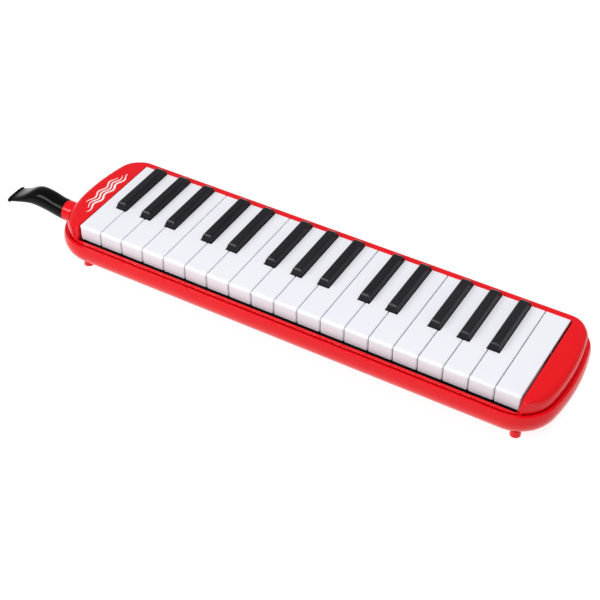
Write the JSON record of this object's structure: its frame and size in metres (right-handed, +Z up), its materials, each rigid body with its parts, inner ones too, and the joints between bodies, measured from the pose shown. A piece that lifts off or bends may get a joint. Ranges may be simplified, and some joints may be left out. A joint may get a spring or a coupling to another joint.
{
  "type": "melodica",
  "caption": "Red free-reed keyboard wind instrument with white and black lever keys and a short pull-off black mouthpiece.",
  "frame": {"origin": "bottom centre of the whole object: the middle of its bounding box in plan, at the height of the underside of the moulded feet", "axes": "+X along the keyboard from the mouthpiece end (low notes) to the high-note end, +Y from the player side to the back rail, +Z up out of the keys"},
  "size_m": [0.4844, 0.112, 0.0437],
  "materials": {
    "red_gloss": "gloss",
    "black_gloss": "gloss",
    "seal_rubber": "matt",
    "chamber_plastic": "satin",
    "bed_plastic": "satin",
    "reed_brass": "rolled",
    "rivet_brass": "turned",
    "steel": "brushed",
    "spring_steel": "drawn",
    "comb_plastic": "satin",
    "stop_felt": "felt",
    "strap_webbing": "woven",
    "white_key": "satin with a fine grain",
    "black_key": "fine grain top, polished edges"
  },
  "bodies": {
    "case": {"upper_case": "red_gloss", "lower_case": "red_gloss", "mouthpiece_socket": "red_gloss", "socket_seal": "seal_rubber", "air_chamber": "chamber_plastic", "chamber_gasket": "seal_rubber", "valve_bed": "bed_plastic", "bass_reed_plate": "reed_brass", "treble_reed_plate": "reed_brass", "bass_reeds": "reed_brass", "treble_reeds": "reed_brass", "reed_rivets": "rivet_brass", "reed_plate_screws": "steel", "pivot_rod": "steel", "rod_clips": "steel", "key_springs": "spring_steel", "guide_comb": "comb_plastic", "key_felt": "stop_felt", "case_screws": "steel", "drain_spring": "spring_steel", "hand_strap": "strap_webbing", "strap_pins": "steel"},
    "mouthpiece": {"mouthpiece": "black_gloss"},
    "water_release": {"water_button": "black_gloss", "drain_pad": "seal_rubber"},
    "key_f3": {"key_f3": "white_key"},
    "key_fs3": {"key_fs3": "black_key"},
    "key_g3": {"key_g3": "white_key"},
    "key_gs3": {"key_gs3": "black_key"},
    "key_a3": {"key_a3": "white_key"},
    "key_as3": {"key_as3": "black_key"},
    "key_b3": {"key_b3": "white_key"},
    "key_c4": {"key_c4": "white_key"},
    "key_cs4": {"key_cs4": "black_key"},
    "key_d4": {"key_d4": "white_key"},
    "key_ds4": {"key_ds4": "black_key"},
    "key_e4": {"key_e4": "white_key"},
    "key_f4": {"key_f4": "white_key"},
    "key_fs4": {"key_fs4": "black_key"},
    "key_g4": {"key_g4": "white_key"},
    "key_gs4": {"key_gs4": "black_key"},
    "key_a4": {"key_a4": "white_key"},
    "key_as4": {"key_as4": "black_key"},
    "key_b4": {"key_b4": "white_key"},
    "key_c5": {"key_c5": "white_key"},
    "key_cs5": {"key_cs5": "black_key"},
    "key_d5": {"key_d5": "white_key"},
    "key_ds5": {"key_ds5": "black_key"},
    "key_e5": {"key_e5": "white_key"},
    "key_f5": {"key_f5": "white_key"},
    "key_fs5": {"key_fs5": "black_key"},
    "key_g5": {"key_g5": "white_key"},
    "key_gs5": {"key_gs5": "black_key"},
    "key_a5": {"key_a5": "white_key"},
    "key_as5": {"key_as5": "black_key"},
    "key_b5": {"key_b5": "white_key"},
    "key_c6": {"key_c6": "white_key"}
  },
  "joints": [
    {"name": "mouthpiece_pull", "type": "slide", "parent": "case", "child": "mouthpiece", "axis": [-1, 0, 0], "range_m": [0, 0.03]},
    {"name": "water_release_press", "type": "slide", "parent": "case", "child": "water_release", "axis": [0, -1, 0], "range_m": [0, 0.0022], "stiffness_N_per_m": 600, "springref_m": -0.003, "deforming": ["drain_spring"]},
    {"name": "key_f3_press", "type": "hinge", "parent": "case", "child": "key_f3", "pos_m": [-0.1465, 0.012, 0.0295], "axis": [1, 0, 0], "range_deg": [0, 3.95], "stiffness_Nm_per_rad": 0.12, "springref_deg": -14.32, "deforming": ["key_springs"]},
    {"name": "key_fs3_press", "type": "hinge", "parent": "case", "child": "key_fs3", "pos_m": [-0.13615, 0.012, 0.0295], "axis": [1, 0, 0], "range_deg": [0, 3.95], "stiffness_Nm_per_rad": 0.12, "springref_deg": -14.32, "deforming": ["key_springs"]},
    {"name": "key_g3_press", "type": "hinge", "parent": "case", "child": "key_g3", "pos_m": [-0.1247, 0.012, 0.0295], "axis": [1, 0, 0], "range_deg": [0, 3.95], "stiffness_Nm_per_rad": 0.12, "springref_deg": -14.32, "deforming": ["key_springs"]},
    {"name": "key_gs3_press", "type": "hinge", "parent": "case", "child": "key_gs3", "pos_m": [-0.11325, 0.012, 0.0295], "axis": [1, 0, 0], "range_deg": [0, 3.95], "stiffness_Nm_per_rad": 0.12, "springref_deg": -14.32, "deforming": ["key_springs"]},
    {"name": "key_a3_press", "type": "hinge", "parent": "case", "child": "key_a3", "pos_m": [-0.1017, 0.012, 0.0295], "axis": [1, 0, 0], "range_deg": [0, 3.95], "stiffness_Nm_per_rad": 0.12, "springref_deg": -14.32, "deforming": ["key_springs"]},
    {"name": "key_as3_press", "type": "hinge", "parent": "case", "child": "key_as3", "pos_m": [-0.09015, 0.012, 0.0295], "axis": [1, 0, 0], "range_deg": [0, 3.95], "stiffness_Nm_per_rad": 0.12, "springref_deg": -14.32, "deforming": ["key_springs"]},
    {"name": "key_b3_press", "type": "hinge", "parent": "case", "child": "key_b3", "pos_m": [-0.0799, 0.012, 0.0295], "axis": [1, 0, 0], "range_deg": [0, 3.95], "stiffness_Nm_per_rad": 0.12, "springref_deg": -14.32, "deforming": ["key_springs"]},
    {"name": "key_c4_press", "type": "hinge", "parent": "case", "child": "key_c4", "pos_m": [-0.0676, 0.012, 0.0295], "axis": [1, 0, 0], "range_deg": [0, 3.95], "stiffness_Nm_per_rad": 0.12, "springref_deg": -14.32, "deforming": ["key_springs"]},
    {"name": "key_cs4_press", "type": "hinge", "parent": "case", "child": "key_cs4", "pos_m": [-0.05635, 0.012, 0.0295], "axis": [1, 0, 0], "range_deg": [0, 3.95], "stiffness_Nm_per_rad": 0.12, "springref_deg": -14.32, "deforming": ["key_springs"]},
    {"name": "key_d4_press", "type": "hinge", "parent": "case", "child": "key_d4", "pos_m": [-0.045, 0.012, 0.0295], "axis": [1, 0, 0], "range_deg": [0, 3.95], "stiffness_Nm_per_rad": 0.12, "springref_deg": -14.32, "deforming": ["key_springs"]},
    {"name": "key_ds4_press", "type": "hinge", "parent": "case", "child": "key_ds4", "pos_m": [-0.03365, 0.012, 0.0295], "axis": [1, 0, 0], "range_deg": [0, 3.95], "stiffness_Nm_per_rad": 0.12, "springref_deg": -14.32, "deforming": ["key_springs"]},
    {"name": "key_e4_press", "type": "hinge", "parent": "case", "child": "key_e4", "pos_m": [-0.0224, 0.012, 0.0295], "axis": [1, 0, 0], "range_deg": [0, 3.95], "stiffness_Nm_per_rad": 0.12, "springref_deg": -14.32, "deforming": ["key_springs"]},
    {"name": "key_f4_press", "type": "hinge", "parent": "case", "child": "key_f4", "pos_m": [-0.01, 0.012, 0.0295], "axis": [1, 0, 0], "range_deg": [0, 3.95], "stiffness_Nm_per_rad": 0.12, "springref_deg": -14.32, "deforming": ["key_springs"]},
    {"name": "key_fs4_press", "type": "hinge", "parent": "case", "child": "key_fs4", "pos_m": [0.00035, 0.012, 0.0295], "axis": [1, 0, 0], "range_deg": [0, 3.95], "stiffness_Nm_per_rad": 0.12, "springref_deg": -14.32, "deforming": ["key_springs"]},
    {"name": "key_g4_press", "type": "hinge", "parent": "case", "child": "key_g4", "pos_m": [0.0118, 0.012, 0.0295], "axis": [1, 0, 0], "range_deg": [0, 3.95], "stiffness_Nm_per_rad": 0.12, "springref_deg": -14.32, "deforming": ["key_springs"]},
    {"name": "key_gs4_press", "type": "hinge", "parent": "case", "child": "key_gs4", "pos_m": [0.02325, 0.012, 0.0295], "axis": [1, 0, 0], "range_deg": [0, 3.95], "stiffness_Nm_per_rad": 0.12, "springref_deg": -14.32, "deforming": ["key_springs"]},
    {"name": "key_a4_press", "type": "hinge", "parent": "case", "child": "key_a4", "pos_m": [0.0348, 0.012, 0.0295], "axis": [1, 0, 0], "range_deg": [0, 3.95], "stiffness_Nm_per_rad": 0.12, "springref_deg": -14.32, "deforming": ["key_springs"]},
    {"name": "key_as4_press", "type": "hinge", "parent": "case", "child": "key_as4", "pos_m": [0.04635, 0.012, 0.0295], "axis": [1, 0, 0], "range_deg": [0, 3.95], "stiffness_Nm_per_rad": 0.12, "springref_deg": -14.32, "deforming": ["key_springs"]},
    {"name": "key_b4_press", "type": "hinge", "parent": "case", "child": "key_b4", "pos_m": [0.0566, 0.012, 0.0295], "axis": [1, 0, 0], "range_deg": [0, 3.95], "stiffness_Nm_per_rad": 0.12, "springref_deg": -14.32, "deforming": ["key_springs"]},
    {"name": "key_c5_press", "type": "hinge", "parent": "case", "child": "key_c5", "pos_m": [0.0689, 0.012, 0.0295], "axis": [1, 0, 0], "range_deg": [0, 3.95], "stiffness_Nm_per_rad": 0.12, "springref_deg": -14.32, "deforming": ["key_springs"]},
    {"name": "key_cs5_press", "type": "hinge", "parent": "case", "child": "key_cs5", "pos_m": [0.08015, 0.012, 0.0295], "axis": [1, 0, 0], "range_deg": [0, 3.95], "stiffness_Nm_per_rad": 0.12, "springref_deg": -14.32, "deforming": ["key_springs"]},
    {"name": "key_d5_press", "type": "hinge", "parent": "case", "child": "key_d5", "pos_m": [0.0915, 0.012, 0.0295], "axis": [1, 0, 0], "range_deg": [0, 3.95], "stiffness_Nm_per_rad": 0.12, "springref_deg": -14.32, "deforming": ["key_springs"]},
    {"name": "key_ds5_press", "type": "hinge", "parent": "case", "child": "key_ds5", "pos_m": [0.10285, 0.012, 0.0295], "axis": [1, 0, 0], "range_deg": [0, 3.95], "stiffness_Nm_per_rad": 0.12, "springref_deg": -14.32, "deforming": ["key_springs"]},
    {"name": "key_e5_press", "type": "hinge", "parent": "case", "child": "key_e5", "pos_m": [0.1141, 0.012, 0.0295], "axis": [1, 0, 0], "range_deg": [0, 3.95], "stiffness_Nm_per_rad": 0.12, "springref_deg": -14.32, "deforming": ["key_springs"]},
    {"name": "key_f5_press", "type": "hinge", "parent": "case", "child": "key_f5", "pos_m": [0.1265, 0.012, 0.0295], "axis": [1, 0, 0], "range_deg": [0, 3.95], "stiffness_Nm_per_rad": 0.12, "springref_deg": -14.32, "deforming": ["key_springs"]},
    {"name": "key_fs5_press", "type": "hinge", "parent": "case", "child": "key_fs5", "pos_m": [0.13685, 0.012, 0.0295], "axis": [1, 0, 0], "range_deg": [0, 3.95], "stiffness_Nm_per_rad": 0.12, "springref_deg": -14.32, "deforming": ["key_springs"]},
    {"name": "key_g5_press", "type": "hinge", "parent": "case", "child": "key_g5", "pos_m": [0.1483, 0.012, 0.0295], "axis": [1, 0, 0], "range_deg": [0, 3.95], "stiffness_Nm_per_rad": 0.12, "springref_deg": -14.32, "deforming": ["key_springs"]},
    {"name": "key_gs5_press", "type": "hinge", "parent": "case", "child": "key_gs5", "pos_m": [0.15975, 0.012, 0.0295], "axis": [1, 0, 0], "range_deg": [0, 3.95], "stiffness_Nm_per_rad": 0.12, "springref_deg": -14.32, "deforming": ["key_springs"]},
    {"name": "key_a5_press", "type": "hinge", "parent": "case", "child": "key_a5", "pos_m": [0.1713, 0.012, 0.0295], "axis": [1, 0, 0], "range_deg": [0, 3.95], "stiffness_Nm_per_rad": 0.12, "springref_deg": -14.32, "deforming": ["key_springs"]},
    {"name": "key_as5_press", "type": "hinge", "parent": "case", "child": "key_as5", "pos_m": [0.18285, 0.012, 0.0295], "axis": [1, 0, 0], "range_deg": [0, 3.95], "stiffness_Nm_per_rad": 0.12, "springref_deg": -14.32, "deforming": ["key_springs"]},
    {"name": "key_b5_press", "type": "hinge", "parent": "case", "child": "key_b5", "pos_m": [0.1931, 0.012, 0.0295], "axis": [1, 0, 0], "range_deg": [0, 3.95], "stiffness_Nm_per_rad": 0.12, "springref_deg": -14.32, "deforming": ["key_springs"]},
    {"name": "key_c6_press", "type": "hinge", "parent": "case", "child": "key_c6", "pos_m": [0.2085, 0.012, 0.0295], "axis": [1, 0, 0], "range_deg": [0, 3.95], "stiffness_Nm_per_rad": 0.12, "springref_deg": -14.32, "deforming": ["key_springs"]}
  ]
}
